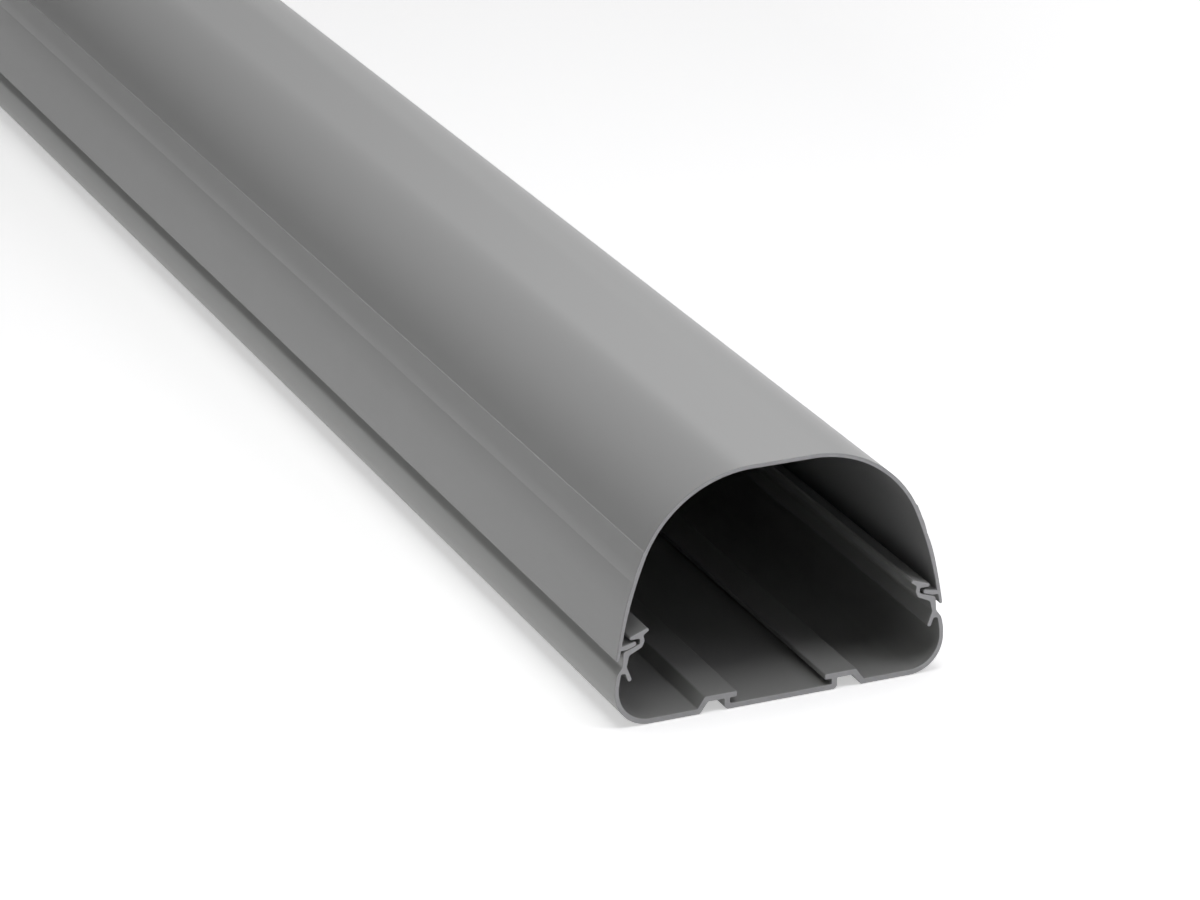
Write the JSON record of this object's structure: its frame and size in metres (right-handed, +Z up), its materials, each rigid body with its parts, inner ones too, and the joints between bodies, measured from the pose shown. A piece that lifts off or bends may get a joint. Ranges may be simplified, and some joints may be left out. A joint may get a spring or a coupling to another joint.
{
  "type": "cable cover",
  "caption": "Domed two-piece plastic cable duct: a flat base with a clip track in its floor and a rounded clip-on cover, in one straight length.",
  "frame": {"origin": "centre of the base's underside", "axes": "+Y along the extrusion, +Z up through the crown of the cover, +X across the width"},
  "size_m": [0.14, 2, 0.1],
  "materials": {
    "base": "satin",
    "cover": "satin"
  },
  "bodies": {
    "root": {"base": "base", "cover": "cover"}
  },
  "joints": []
}
